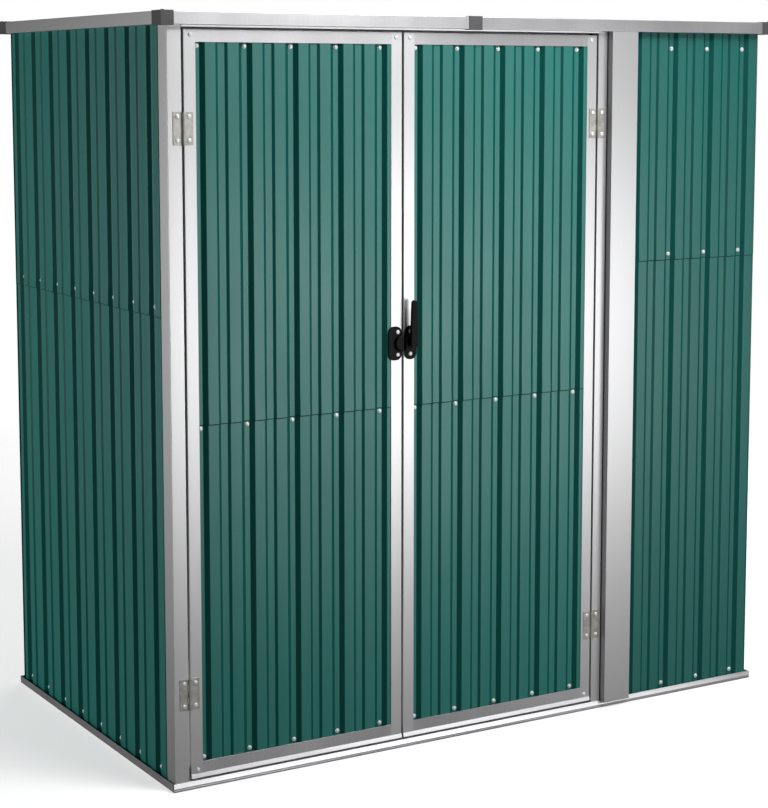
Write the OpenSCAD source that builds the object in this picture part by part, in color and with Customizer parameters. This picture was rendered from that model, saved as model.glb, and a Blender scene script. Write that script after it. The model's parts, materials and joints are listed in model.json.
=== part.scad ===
// Small metal garden shed: profiled steel sheets in a folded steel frame, with a pair of
// hinged doors beside a fixed panel, and a flat roof inside a ring of beams.
// X runs along the front to the right, Y from the front to the back, Z up from the ground.
// The origin is the middle of the footprint, on the ground.

/* [Overall] */
// Width over the walls
shed_w = 1736; // [1440:1:2100]
// Depth over the walls
shed_d = 984; // [800:1:1300]
// Height from the ground to the top of the roof beams
shed_h = 1800; // [1500:1:2200]

/* [Profiled sheets] */
// Thickness of the sheets
sheet_t = 0.6; // [0.4:0.1:0.8]
// Distance from one valley to the next
rib_pitch = 120; // [110:1:150]
// Depth of a valley
rib_h = 8; // [5:0.1:10]
// Width of a valley's floor
valley_w = 14; // [10:1:20]
// Width of a valley's sloping side
slope_w = 10; // [6:1:12]
// Depth of the stiffening groove in each raised pan
groove_h = 3; // [1:0.5:4]
// Width of the groove's floor
groove_w = 18; // [10:1:22]
// Width of the groove's sloping side
groove_slope_w = 6; // [4:1:8]
// Flat stretch of the pan to the left of its groove
pan_left_w = 27; // [15:1:30]
// Valley nearest the front edge of the side walls, from that edge
side_valley = 98; // [60:1:140]
// Valley nearest the right edge of the front panel, from that edge
panel_valley = 52; // [40:1:90]
// Height at which one sheet overlaps the next
lap_h = 17; // [10:1:30]
// Lower edge of the upper side and back sheets
wall_lap_z = 1107; // [600:1:1300]
// Lower edge of the front panel's upper sheet
panel_lap_z = 1179; // [600:1:1300]
// Lower edge of the doors' upper sheets
door_lap_z = 858; // [600:1:1300]

/* [Base and walls] */
// Steel thickness of the frame's folded members
frame_t = 1.2; // [0.8:0.1:2]
// Height of the base rail's outer lip
lip_h = 19; // [12:1:30]
// How far the base rail stands out past the walls
lip_out = 7; // [4:1:12]
// How far the base rail reaches in under the walls
base_in = 45; // [35:1:60]
// Height of the upstand that the sheets are screwed to
upstand_h = 42; // [30:1:60]
// Leg of the inner corner posts and of the wall angles
angle_leg = 30; // [20:1:34]
// Height of the top rails
top_rail_h = 55; // [40:1:80]
// Height of the girts behind the sheet laps
girt_h = 45; // [30:1:60]

/* [Doorway] */
// Width of the front left corner post, seen from the front
corner_post_w = 36; // [30:1:50]
// Depth of the front left corner post, seen from the side
corner_post_d = 45; // [35:1:60]
// Width of the jamb that carries the right door
jamb_w = 28; // [25:1:50]
// Width of the cover post beside the jamb
cover_post_w = 82; // [60:1:100]
// How far the cover post stands out past the jamb
cover_post_out = 20; // [8:1:21]
// Depth of the returns behind the post and jamb faces
return_d = 24; // [15:1:25]
// Strip of the header that shows under the roof beam
header_strip_h = 5; // [4:1:12]
// How far the header strip stands out past the doors
header_out = 1.5; // [0:0.5:4]
// Height of the stop lip that hangs from the header behind the doors
header_stop_h = 20; // [10:1:40]

/* [Doors] */
// Width of one door
door_w = 575; // [480:1:690]
// Gap around and between the doors
door_gap = 5; // [5:0.5:8]
// Steel thickness of the door frame
door_t = 1; // [0.8:0.1:1.2]
// Width of the stiles' faces
stile_w = 30; // [25:1:40]
// Height of the top rail's face
top_face_h = 28; // [22:1:40]
// Height of the bottom rail's face
bottom_face_h = 38; // [30:1:50]
// Extra height of the rails' back flanges
back_flange_extra = 14; // [10:1:20]
// Height of the drip lip along the bottom of a door
drip_h = 10; // [6:1:14]
// How far the drip lip stands out
drip_out = 2.5; // [1.5:0.5:4]
// Height of the middle rail behind the sheet lap
mid_rail_h = 42; // [30:1:60]
// First valley, from the left edge of a door
door_valley = 37; // [34:1:40]

/* [Hinges] */
// Height of a hinge
hinge_h = 75; // [60:1:100]
// Width of an open hinge
hinge_w = 50; // [44:1:60]
// Thickness of a hinge leaf
leaf_t = 1.5; // [1:0.1:2]
// Radius of the knuckles
knuckle_r = 3.5; // [2.8:0.1:4.5]
// Radius of the hinge pins
pin_r = 1.6; // [1.2:0.1:2]
// Middle of the upper hinges, below the top of the doors
hinge_below_top = 222; // [120:1:300]
// Middle of the lower hinges, above the bottom of the doors
hinge_above_bottom = 204; // [120:1:300]

/* [Latch] */
// Height of the lever's pivot above the ground
latch_z = 1013; // [800:1:1200]
// Height of the two latch plates
latch_h = 83; // [70:1:100]
// Width of the latch plate on the right door
latch_base_w = 35; // [30:1:45]
// Width of the keeper plate on the left door
keeper_w = 38; // [30:1:45]
// Thickness of the two plates
latch_plate_t = 3; // [2:0.5:4]
// How far the domes stand out from the plates
dome_h = 8; // [5:0.5:10]
// Radius of the round dome that the two halves make up
dome_r = 20; // [15:1:22]
// Length of the lever above its pivot
lever_l = 105; // [80:1:130]
// Width of the lever at its pivot
lever_w = 20; // [16:1:24]
// Width of the lever at its tip
lever_tip_w = 12; // [8:1:16]
// Thickness of the lever
lever_t = 9; // [6:1:12]
// Radius of the lever's pin
lever_pin_r = 4; // [3:0.5:6]
// Lever's pivot, from the left edge of the right door
lever_in = 17; // [15:1:20]
// Radius of the latch plates' corners
plate_corner_r = 12; // [4:1:14]

/* [Roof] */
// Height of the roof beams
beam_h = 30; // [24:1:50]
// How far the roof beams stand out past the walls
beam_out = 22; // [20:1:30]
// Width of the beams' top flange
beam_flange = 20; // [12:1:28]
// Width of the plastic cap over the joint in the front beam
joint_cap_w = 38; // [30:1:60]
// Middle of the joint in the front beam, to the left of the middle of the shed
joint_offset = 56; // [0:1:200]
// Thickness of the plastic caps
cap_t = 1.4; // [1:0.1:2]
// Length of a corner cap along the front or back
cap_front_l = 32; // [28:1:50]
// Length of a corner cap along the side
cap_side_l = 50; // [28:1:70]
// Radius of the knob on a corner cap
cap_knob_r = 4; // [3:0.5:6]
// Width of the bar under the middle of the roof
crossbar_w = 30; // [20:1:50]
// Height of the bar under the middle of the roof
crossbar_h = 30; // [20:1:50]

/* [Hidden] */
$fn = 48;
fit = 0.1;            // clearance of pieces that only lie against each other
pin_fit = 0.05;       // radial clearance of the pins
knuckle_gap = 0.4;    // gap between two knuckles
door_slack = 0.5;     // room behind the sheets in a door frame
sill_gap = 3;         // from the jambs' returns to the upstand behind the doors
sheet_side_gap = 1;   // from a sheet's edge to what stands beside it
post_gap = 2;         // between the jamb and the cover post
post_foot_drop = 3;   // how far the cover post's foot hangs below the lip's edge
mid_leg = 10;         // level leg of a door's middle rail
leaf_gap = 1;         // from a knuckle to the edge of a hinge leaf
latch_inset = 1;      // from a door's edge to its half of the latch
latch_pin_floor = 1;  // metal left under the lever's pin
boss_rim = 2;         // how far the boss on the base is wider than the lever
hub_l = 6;            // from the boss to the lever's arm
hub_inset = 1;        // how far the lever's hub is narrower than its arm
cap_knob_in = 6;      // middle of a cap's knob, from the beams' faces
cap_knob_h = 1.5;     // height of a cap's knob
joint_cap_gap = 2;    // from the joint cap to the walls' plane
knuckles = 5;

left_x = -shed_w / 2;
right_x = shed_w / 2;
front_y = -shed_d / 2;
back_y = shed_d / 2;

// Depths into a wall, from its outer plane
upper_d = frame_t;                              // face of the upper sheets
lower_d = upper_d + sheet_t + fit;              // face of the lower sheets, under the lap
rail_d = lower_d + rib_h + sheet_t + fit;       // face of the rails and girts
post_d = rail_d + frame_t;                      // face of the inner posts
angle_d = rail_d + angle_leg;                   // reach of the wall angles' level legs
sill_d = return_d + sill_gap;                   // upstand behind the doors
door_depth = lower_d + rib_h + sheet_t + door_slack + door_t;

// Heights
wall_top = shed_h - beam_h;
header_z = wall_top - header_strip_h;
door_z = lip_h + door_gap;
door_top = header_z - door_gap;
door_h = door_top - door_z;
roof_z = wall_top + frame_t + fit + rib_h + sheet_t;    // upper face of the roof sheets' pans

// Places along the front, from the left wall's plane
left_door_x = left_x + corner_post_w + door_gap;
right_door_x = left_door_x + door_w + door_gap;
jamb_x = right_door_x + door_w + door_gap;
cover_post_x = jamb_x + jamb_w + post_gap;
panel_x = cover_post_x + 5 * frame_t;
door_middle_x = right_door_x - door_gap / 2;
left_hinge_x = left_door_x - door_gap / 2;
right_hinge_x = jamb_x - door_gap / 2;
hinge_zs = [door_z + hinge_above_bottom, door_top - hinge_below_top];
lever_x = right_door_x + lever_in;
beam_joint_x = -joint_offset;

sheet_green = [0.26, 0.5, 0.46];
frame_silver = [0.8, 0.8, 0.81];
hinge_grey = [0.6, 0.6, 0.62];
cap_grey = [0.3, 0.3, 0.31];
latch_black = [0.12, 0.11, 0.12];

// ---- Profiled sheet ----

// Depth below the pan's face at each knot of one pitch, starting in the middle of a valley
groove_start = valley_w / 2 + slope_w + pan_left_w;
groove_end = groove_start + 2 * groove_slope_w + groove_w;
RIB = [
    [0, rib_h], [valley_w / 2, rib_h], [valley_w / 2 + slope_w, 0],
    [groove_start, 0], [groove_start + groove_slope_w, groove_h],
    [groove_end - groove_slope_w, groove_h], [groove_end, 0],
    [rib_pitch - valley_w / 2 - slope_w, 0], [rib_pitch - valley_w / 2, rib_h],
    [rib_pitch, rib_h],
];

function rib_depth(x) = lookup(x - rib_pitch * floor(x / rib_pitch), RIB);

// The knots between x0 and x1 of a sheet with a valley at x = valley
function sheet_xs(x0, x1, valley) = concat(
    [x0],
    [for (k = [floor((x0 - valley) / rib_pitch) : ceil((x1 - valley) / rib_pitch)])
        for (i = [1 : len(RIB) - 2])
            let (x = valley + k * rib_pitch + RIB[i][0])
            if (x > x0 + fit && x < x1 - fit) x],
    [x1]
);

// Cross-section of a sheet: x along the wall, y into it
module sheet_section(x0, x1, valley) {
    xs = sheet_xs(x0, x1, valley);
    face = [for (x = xs) [x, rib_depth(x - valley)]];
    polygon(concat(face, [for (i = [len(xs) - 1 : -1 : 0]) face[i] + [0, sheet_t]]));
}

module sheet(x0, x1, valley, z0, z1, depth)
    color(sheet_green)
        translate([0, depth, z0])
            linear_extrude(z1 - z0)
                sheet_section(x0, x1, valley);

// ---- Wall frames: x to the right seen from outside, y into the wall ----

module on_front() translate([0, front_y, 0]) children();
module on_back() translate([0, back_y, 0]) rotate([0, 0, 180]) children();
module on_left() translate([left_x, 0, 0]) rotate([0, 0, -90]) children();
module on_right() translate([right_x, 0, 0]) rotate([0, 0, 90]) children();

// A bar from x0 to x1 with the cross-section of its children, drawn as (y, z)
module bar(x0, x1)
    translate([x0, 0, 0])
        rotate([90, 0, 90])
            linear_extrude(x1 - x0)
                children();

// A rectangle given by its two corners
module box2(a, b) translate(a) square(b - a);

// A bar along a wall of the given length, mitred at both ends
module mitred_bar(wall_l, out, in, z0, z1) {
    half = wall_l / 2;
    intersection() {
        bar(-half - out, half + out) children();
        translate([0, 0, z0])
            linear_extrude(z1 - z0)
                polygon([[-half - out, -out], [half + out, -out], [half - in, in], [-half + in, in]]);
    }
}

// ---- Base ----

module base_rail(wall_l, web_d)
    color(frame_silver)
        mitred_bar(wall_l, lip_out, base_in, 0, upstand_h) {
            union() {
                box2([-lip_out, 0], [base_in, frame_t]);
                box2([-lip_out, 0], [-lip_out + frame_t, lip_h]);
                box2([web_d, 0], [web_d + frame_t, upstand_h]);
            }
        }

module base_rail_front() on_front() base_rail(shed_w, sill_d);
module base_rail_back() on_back() base_rail(shed_w, rail_d);
module base_rail_left() on_left() base_rail(shed_d, rail_d);
module base_rail_right() on_right() base_rail(shed_d, rail_d);

// ---- Posts ----

// Front left corner post: its two faces show, and a return closes its doorway side
module corner_post_front_left()
    color(frame_silver)
        translate([left_x, front_y, frame_t])
            linear_extrude(wall_top - frame_t) {
                square([corner_post_w, frame_t]);
                square([frame_t, corner_post_d]);
                translate([corner_post_w - frame_t, 0]) square([frame_t, return_d]);
            }

// Inner corner post: an angle behind the rails, with its corner at the wall's left end
module inner_post(wall_l)
    color(frame_silver)
        translate([-wall_l / 2 + post_d, post_d, frame_t])
            linear_extrude(wall_top - 2 * frame_t) {
                square([angle_leg, frame_t]);
                square([frame_t, angle_leg]);
            }

module corner_post_front_right() on_right() inner_post(shed_d);
module corner_post_back_right() on_back() inner_post(shed_w);
module corner_post_back_left() on_left() inner_post(shed_d);

module door_jamb_right()
    color(frame_silver)
        translate([jamb_x, front_y, frame_t])
            linear_extrude(wall_top - frame_t) {
                square([jamb_w, frame_t]);
                square([frame_t, return_d]);
                translate([jamb_w - frame_t, 0]) square([frame_t, return_d]);
            }

// The cover post stands out past the jamb and hooks over the base rail's lip
module cover_post() {
    foot_z = lip_h - post_foot_drop;
    slot = [frame_t + 4 * fit, lip_h + 2 * fit];
    color(frame_silver)
        translate([cover_post_x, front_y, 0])
            difference() {
                translate([0, 0, frame_t])
                    linear_extrude(wall_top - frame_t) {
                        translate([0, -cover_post_out]) square([cover_post_w, frame_t]);
                        translate([0, -cover_post_out]) square([frame_t, cover_post_out + return_d]);
                        translate([cover_post_w - frame_t, -cover_post_out])
                            square([frame_t, cover_post_out + upper_d - fit]);
                    }
                translate([-1, -lip_out - 2 * fit, 0])
                    cube([cover_post_w + 2, slot[0], slot[1]]);
                translate([-1, -cover_post_out - 1, 0])
                    cube([cover_post_w + 2, cover_post_out + 1 - lip_out, foot_z]);
            }
}

// ---- Rails behind the top of the walls, and girts behind the laps ----

// The header closes the wall over the doors, with a stop lip behind them
module door_header()
    color(frame_silver)
        on_front()
            bar(left_x + corner_post_w, jamb_x) {
                box2([-header_out, header_z], [-header_out + frame_t, wall_top]);
                box2([-header_out, header_z], [angle_d, header_z + frame_t]);
                box2([angle_d - frame_t, header_z - header_stop_h], [angle_d, wall_top]);
            }

// An angle from x0 to x1 with a face from z0 to z1 and its level leg at the top
module wall_angle(x0, x1, end0, end1, z0, z1)
    color(frame_silver) {
        bar(x0, x1) box2([rail_d, z0], [rail_d + frame_t, z1]);
        bar(x0 + end0, x1 - end1) box2([rail_d, z1 - frame_t], [angle_d, z1]);
    }

// Where a wall's angles end: against the next wall's angles, their legs short of the posts
corner_end = rail_d + frame_t + 2 * fit;
leg_end = angle_leg + 2 * frame_t;

module full_angle(wall_l, z0, z1) {
    half = wall_l / 2 - corner_end;
    wall_angle(-half, half, leg_end, leg_end, z0, z1);
}

module top_rail_left() on_left() full_angle(shed_d, wall_top - top_rail_h, wall_top);
module top_rail_right() on_right() full_angle(shed_d, wall_top - top_rail_h, wall_top);
module top_rail_back() on_back() full_angle(shed_w, wall_top - top_rail_h, wall_top);

// Angles that the front panel is screwed to at its foot and its head
module front_panel_angles() {
    x1 = right_x - corner_end - leg_end;
    on_front() {
        color(frame_silver) {
            bar(panel_x, x1) box2([rail_d, frame_t], [rail_d + frame_t, upstand_h]);
            bar(panel_x, x1) box2([rail_d, frame_t], [sill_d - fit, 2 * frame_t]);
        }
        wall_angle(panel_x, x1, 0, 0, wall_top - top_rail_h, wall_top);
    }
}

module wall_girts() {
    z0 = wall_lap_z - girt_h / 3;
    panel_z0 = panel_lap_z - girt_h / 3;
    on_left() full_angle(shed_d, z0, z0 + girt_h);
    on_right() full_angle(shed_d, z0, z0 + girt_h);
    on_back() full_angle(shed_w, z0, z0 + girt_h);
    on_front() wall_angle(panel_x, right_x - corner_end - leg_end, 0, 0, panel_z0, panel_z0 + girt_h);
}

// ---- Wall sheets ----

side_sheet_end = shed_d / 2 - rail_d - fit;
back_sheet_end = shed_w / 2 - sheet_side_gap;
sheet_foot = frame_t + fit;
sheet_head = wall_top - fit;

module side_sheet(valley, z0, z1, depth)
    sheet(-side_sheet_end, side_sheet_end, valley, z0, z1, depth);

module left_wall_lower()
    on_left() side_sheet(shed_d / 2 - side_valley, sheet_foot, wall_lap_z + lap_h, lower_d);

module left_wall_upper()
    on_left() side_sheet(shed_d / 2 - side_valley, wall_lap_z, sheet_head, upper_d);

module right_wall_lower()
    on_right() side_sheet(side_valley - shed_d / 2, sheet_foot, wall_lap_z + lap_h, lower_d);

module right_wall_upper()
    on_right() side_sheet(side_valley - shed_d / 2, wall_lap_z, sheet_head, upper_d);

module back_wall_lower()
    on_back()
        sheet(-back_sheet_end, back_sheet_end, 0, sheet_foot, wall_lap_z + lap_h, lower_d);

module back_wall_upper()
    on_back()
        sheet(-back_sheet_end, back_sheet_end, 0, wall_lap_z, sheet_head, upper_d);

module front_panel_lower()
    on_front()
        sheet(panel_x, back_sheet_end, right_x - panel_valley, sheet_foot, panel_lap_z + lap_h, lower_d);

module front_panel_upper()
    on_front()
        sheet(panel_x, back_sheet_end, right_x - panel_valley, panel_lap_z, sheet_head, upper_d);

// ---- Roof ----

// Cross-section of a roof beam: a channel open towards the roof
module beam_section() {
    box2([-beam_out, wall_top], [beam_flange, wall_top + frame_t]);
    box2([-beam_out, wall_top], [-beam_out + frame_t, shed_h]);
    box2([-beam_out, shed_h - frame_t], [-beam_out + beam_flange, shed_h]);
}

module roof_beam(wall_l)
    color(frame_silver)
        mitred_bar(wall_l, beam_out, beam_flange, wall_top, shed_h)
            beam_section();

// One end of the front beam, from the mitre to the joint
module front_beam_part(x0, x1)
    intersection() {
        on_front() roof_beam(shed_w);
        translate([x0, front_y - beam_out, wall_top])
            cube([x1 - x0, beam_out + beam_flange, beam_h]);
    }

module roof_beam_front_left() front_beam_part(left_x - beam_out, beam_joint_x - fit);
module roof_beam_front_right() front_beam_part(beam_joint_x + fit, right_x + beam_out);
module roof_beam_left() on_left() roof_beam(shed_d);
module roof_beam_right() on_right() roof_beam(shed_d);
module roof_beam_back() on_back() roof_beam(shed_w);

cap_out = beam_out + fit + cap_t;

// A plastic cap over a corner of the beams, drawn at the front left corner
module corner_cap()
    color(cap_grey) {
        difference() {
            translate([-cap_out, -cap_out, wall_top - fit - cap_t])
                linear_extrude(beam_h + 2 * (fit + cap_t)) {
                    square([cap_front_l, cap_out - fit]);
                    square([cap_out - fit, cap_side_l]);
                }
            translate([-beam_out - fit, -beam_out - fit, wall_top - fit])
                cube([cap_side_l + cap_out, cap_side_l + cap_out, beam_h + 2 * fit]);
        }
        translate([-beam_out + cap_knob_in, -beam_out + cap_knob_in, shed_h + fit])
            cylinder(r = cap_knob_r, h = cap_t + cap_knob_h);
    }

module roof_corner_caps()
    for (sx = [0, 1], sy = [0, 1])
        mirror([sx, 0, 0])
            mirror([0, sy, 0])
                translate([left_x, front_y, 0])
                    corner_cap();

module roof_joint_cap()
    color(cap_grey)
        on_front()
            bar(beam_joint_x - joint_cap_w / 2, beam_joint_x + joint_cap_w / 2)
                difference() {
                    box2([-cap_out, wall_top - fit - cap_t], [-joint_cap_gap, shed_h + fit + cap_t]);
                    box2([-beam_out - fit, wall_top - fit], [0, shed_h + fit]);
                }

// A channel under the middle of the roof, from the header to the back top rail
module roof_crossbar()
    color(frame_silver)
        translate([0, front_y + angle_d, 0])
            rotate([90, 0, 180])
                linear_extrude(shed_d - 2 * angle_d)
                    translate([-crossbar_w / 2, wall_top + frame_t - crossbar_h])
                        difference() {
                            square([crossbar_w, crossbar_h]);
                            translate([frame_t, -1])
                                square([crossbar_w - 2 * frame_t, crossbar_h + 1 - frame_t]);
                        }

roof_edge = beam_out - frame_t - fit * 5;

module roof_sheet(x0, x1, z)
    color(sheet_green)
        translate([0, back_y + roof_edge, z])
            rotate([90, 0, 0])
                linear_extrude(shed_d + 2 * roof_edge)
                    mirror([0, 1, 0])
                        sheet_section(x0, x1, rib_pitch / 2);

roof_lap_w = rib_pitch / 2;
module roof_sheet_left() roof_sheet(left_x - roof_edge, roof_lap_w / 2, roof_z);
module roof_sheet_right() roof_sheet(-roof_lap_w / 2, right_x + roof_edge, roof_z + sheet_t + fit);

// ---- Doors: each is drawn from its left edge, at x ----

module stile(x, way)
    color(frame_silver)
        translate([x, front_y, door_z + door_t])
            linear_extrude(door_h - door_t)
                mirror([way < 0 ? 1 : 0, 0])
                    difference() {
                        square([stile_w, door_depth]);
                        translate([door_t, door_t])
                            square([stile_w, door_depth - 2 * door_t]);
                    }

module door_stiles(x) {
    stile(x, 1);
    stile(x + door_w, -1);
}

module door_rails(x) {
    inner0 = x + stile_w;
    inner1 = x + door_w - stile_w;
    back = door_depth - door_t;
    mid_z = door_lap_z - mid_rail_h / 3;
    color(frame_silver)
        on_front() {
            // bottom rail, with its drip lip under the stiles too
            bar(x, x + door_w) {
                box2([-drip_out, door_z], [door_depth, door_z + door_t]);
                box2([-drip_out, door_z], [0, door_z + drip_h]);
            }
            bar(inner0, inner1) {
                box2([0, door_z], [door_t, door_z + bottom_face_h]);
                box2([back, door_z], [door_depth, door_z + bottom_face_h + back_flange_extra]);
            }
            // top rail
            bar(inner0, inner1) {
                box2([0, door_top - door_t], [door_depth, door_top]);
                box2([0, door_top - top_face_h], [door_t, door_top]);
                box2([back, door_top - top_face_h - back_flange_extra], [door_depth, door_top]);
            }
            // middle rail behind the lap
            bar(inner0, inner1) {
                box2([back, mid_z], [door_depth, mid_z + mid_rail_h]);
                box2([back, mid_z + mid_rail_h - door_t], [back + mid_leg, mid_z + mid_rail_h]);
            }
        }
}

module door_sheet(x, z0, z1, depth) {
    side = door_t + sheet_side_gap;
    on_front()
        sheet(x + side, x + door_w - side, x + door_valley, z0, z1, depth);
}

module door_lower(x) door_sheet(x, door_z + door_t + fit, door_lap_z + lap_h, lower_d);
module door_upper(x) door_sheet(x, door_lap_z, door_top - door_t - fit, upper_d);

module left_door_stiles() door_stiles(left_door_x);
module left_door_rails() door_rails(left_door_x);
module left_door_sheet_lower() door_lower(left_door_x);
module left_door_sheet_upper() door_upper(left_door_x);
module right_door_stiles() door_stiles(right_door_x);
module right_door_rails() door_rails(right_door_x);
module right_door_sheet_lower() door_lower(right_door_x);
module right_door_sheet_upper() door_upper(right_door_x);

// ---- Hinges: the pin's axis is at x, a knuckle's radius in front of the faces ----

knuckle_l = hinge_h / knuckles;

// The leaf on the side way (-1 left, 1 right) of the axis, with every second knuckle
module leaf(x, way, first)
    translate([x, front_y - knuckle_r, 0])
        for (zc = hinge_zs)
            translate([0, 0, zc - hinge_h / 2])
                mirror([way < 0 ? 1 : 0, 0, 0]) {
                    translate([knuckle_r + leaf_gap, knuckle_r - leaf_t, 0])
                        cube([hinge_w / 2 - knuckle_r - leaf_gap, leaf_t, hinge_h]);
                    for (k = [first : 2 : knuckles - 1])
                        translate([0, 0, k * knuckle_l + knuckle_gap / 2]) {
                            cylinder(r = knuckle_r, h = knuckle_l - knuckle_gap);
                            translate([0, knuckle_r - leaf_t, 0])
                                cube([knuckle_r + 2 * leaf_gap, leaf_t, knuckle_l - knuckle_gap]);
                        }
                }

module hinge_pins(x, r)
    for (zc = hinge_zs)
        translate([x, front_y - knuckle_r, zc - hinge_h / 2 + knuckle_gap / 2])
            cylinder(r = r, h = hinge_h - knuckle_gap);

module frame_hinge_leaves()
    color(hinge_grey) {
        leaf(left_hinge_x, -1, 0);
        hinge_pins(left_hinge_x, pin_r);
        leaf(right_hinge_x, 1, 0);
        hinge_pins(right_hinge_x, pin_r);
    }

module door_leaves(x, way)
    color(hinge_grey)
        difference() {
            leaf(x, way, 1);
            hinge_pins(x, pin_r + pin_fit);
        }

module left_door_hinge_leaves() door_leaves(left_hinge_x, 1);
module right_door_hinge_leaves() door_leaves(right_hinge_x, -1);

// ---- Latch: keeper on the left door, base and lever on the right door ----

// Pieces of the latch are drawn as (x, z) from the lever's height and stand out by h from y
module latch_slab(y, h)
    translate([0, front_y - y, latch_z])
        rotate([90, 0, 0])
            linear_extrude(h)
                children();

module rounded_plate(x0, x1, h, r) {
    box2([x0, -h / 2 + r], [x1, h / 2 - r]);
    box2([x0 + r, -h / 2], [x1 - r, h / 2]);
    for (x = [x0 + r, x1 - r], z = [-h / 2 + r, h / 2 - r])
        translate([x, z]) circle(r = r);
}

// The part of the dome between x0 and x1
module dome_part(x0, x1)
    intersection() {
        translate([door_middle_x - door_gap, 0]) circle(r = dome_r);
        box2([x0, -dome_r], [x1, dome_r]);
    }

module latch_keeper() {
    edge = right_door_x - door_gap - latch_inset;
    color(latch_black) {
        latch_slab(0, latch_plate_t) rounded_plate(edge - keeper_w, edge, latch_h, plate_corner_r);
        latch_slab(latch_plate_t, dome_h) dome_part(edge - 2 * dome_r, edge);
    }
}

module latch_base() {
    edge = right_door_x + latch_inset;
    boss_r = lever_w / 2 + boss_rim;
    color(latch_black)
        difference() {
            union() {
                latch_slab(0, latch_plate_t)
                    rounded_plate(edge, edge + latch_base_w, latch_h, plate_corner_r);
                latch_slab(latch_plate_t, dome_h) dome_part(edge, edge + dome_r);
                latch_slab(latch_plate_t, dome_h) translate([lever_x, 0]) circle(r = boss_r);
            }
            latch_slab(latch_pin_floor, latch_plate_t + dome_h)
                translate([lever_x, 0]) circle(r = lever_pin_r + pin_fit);
        }
}

// The lever stands upright when the doors are locked
module latch_lever() {
    hub_y = latch_plate_t + dome_h + 3 * fit;
    arm_y = latch_plate_t + dome_h + hub_l;
    color(latch_black) {
        latch_slab(latch_pin_floor + 3 * fit, arm_y)
            translate([lever_x, 0]) circle(r = lever_pin_r);
        latch_slab(hub_y, arm_y - hub_y + fit)
            translate([lever_x, 0]) circle(r = lever_w / 2 - hub_inset);
        latch_slab(arm_y, lever_t)
            translate([lever_x, 0]) {
                circle(r = lever_w / 2);
                translate([0, lever_l - lever_tip_w / 2]) circle(r = lever_tip_w / 2);
                polygon([
                    [-lever_w / 2, 0], [lever_w / 2, 0],
                    [lever_tip_w / 2, lever_l - lever_tip_w / 2],
                    [-lever_tip_w / 2, lever_l - lever_tip_w / 2],
                ]);
            }
    }
}

base_rail_front();
base_rail_back();
base_rail_left();
base_rail_right();
corner_post_front_left();
corner_post_front_right();
corner_post_back_left();
corner_post_back_right();
door_jamb_right();
cover_post();
door_header();
top_rail_left();
top_rail_right();
top_rail_back();
front_panel_angles();
wall_girts();
left_wall_lower();
left_wall_upper();
right_wall_lower();
right_wall_upper();
back_wall_lower();
back_wall_upper();
front_panel_lower();
front_panel_upper();
roof_beam_front_left();
roof_beam_front_right();
roof_beam_left();
roof_beam_right();
roof_beam_back();
roof_corner_caps();
roof_joint_cap();
roof_crossbar();
roof_sheet_left();
roof_sheet_right();
frame_hinge_leaves();
left_door_stiles();
left_door_rails();
left_door_sheet_lower();
left_door_sheet_upper();
left_door_hinge_leaves();
latch_keeper();
right_door_stiles();
right_door_rails();
right_door_sheet_lower();
right_door_sheet_upper();
right_door_hinge_leaves();
latch_base();
latch_lever();
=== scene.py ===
"""Finishes the metal garden shed: rolled sheets, folded steel, fittings, paint and studio."""

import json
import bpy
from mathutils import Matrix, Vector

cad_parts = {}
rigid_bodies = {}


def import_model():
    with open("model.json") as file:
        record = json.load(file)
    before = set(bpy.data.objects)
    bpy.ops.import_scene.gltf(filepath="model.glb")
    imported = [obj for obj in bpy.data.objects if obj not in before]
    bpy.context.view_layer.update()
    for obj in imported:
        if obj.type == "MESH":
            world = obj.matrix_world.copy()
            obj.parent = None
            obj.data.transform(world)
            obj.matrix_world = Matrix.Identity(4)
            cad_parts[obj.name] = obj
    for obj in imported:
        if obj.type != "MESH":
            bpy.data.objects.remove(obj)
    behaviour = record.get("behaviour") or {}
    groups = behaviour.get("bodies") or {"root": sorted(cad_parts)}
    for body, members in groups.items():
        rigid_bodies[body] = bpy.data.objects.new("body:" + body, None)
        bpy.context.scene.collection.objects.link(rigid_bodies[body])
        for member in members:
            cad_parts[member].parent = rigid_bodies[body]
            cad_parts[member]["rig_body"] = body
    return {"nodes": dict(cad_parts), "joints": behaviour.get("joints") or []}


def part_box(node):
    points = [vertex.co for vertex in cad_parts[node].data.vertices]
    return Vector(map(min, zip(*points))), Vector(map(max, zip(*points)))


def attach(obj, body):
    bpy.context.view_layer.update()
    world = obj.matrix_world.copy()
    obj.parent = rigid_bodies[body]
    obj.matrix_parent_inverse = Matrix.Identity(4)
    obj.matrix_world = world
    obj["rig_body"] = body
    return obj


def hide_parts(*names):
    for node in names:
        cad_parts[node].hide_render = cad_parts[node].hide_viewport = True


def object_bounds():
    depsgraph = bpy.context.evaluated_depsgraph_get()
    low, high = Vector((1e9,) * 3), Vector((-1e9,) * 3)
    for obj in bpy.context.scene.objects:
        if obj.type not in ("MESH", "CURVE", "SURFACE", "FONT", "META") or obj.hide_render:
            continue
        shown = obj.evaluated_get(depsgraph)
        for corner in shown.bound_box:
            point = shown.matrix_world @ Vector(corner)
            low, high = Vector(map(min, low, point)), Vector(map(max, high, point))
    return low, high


bl_info = {
    "name": "Metal garden shed",
    "version": (1, 0, 0),
    "blender": (4, 5, 0),
    "location": "3D View > Sidebar > Shed",
    "description": "Rolled sheets, folded steel frame, screws, hinges, latch and studio",
    "category": "Add Mesh",
}

from math import pi, radians

import bmesh
import bpy
from bpy.props import FloatProperty, FloatVectorProperty, IntProperty, PointerProperty
from mathutils import Matrix, Vector

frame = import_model()

NODES = frame["nodes"]
CAD_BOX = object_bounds()
MM = 0.001
# Two places this close count as one
NEAR = 0.1 * MM
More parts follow.
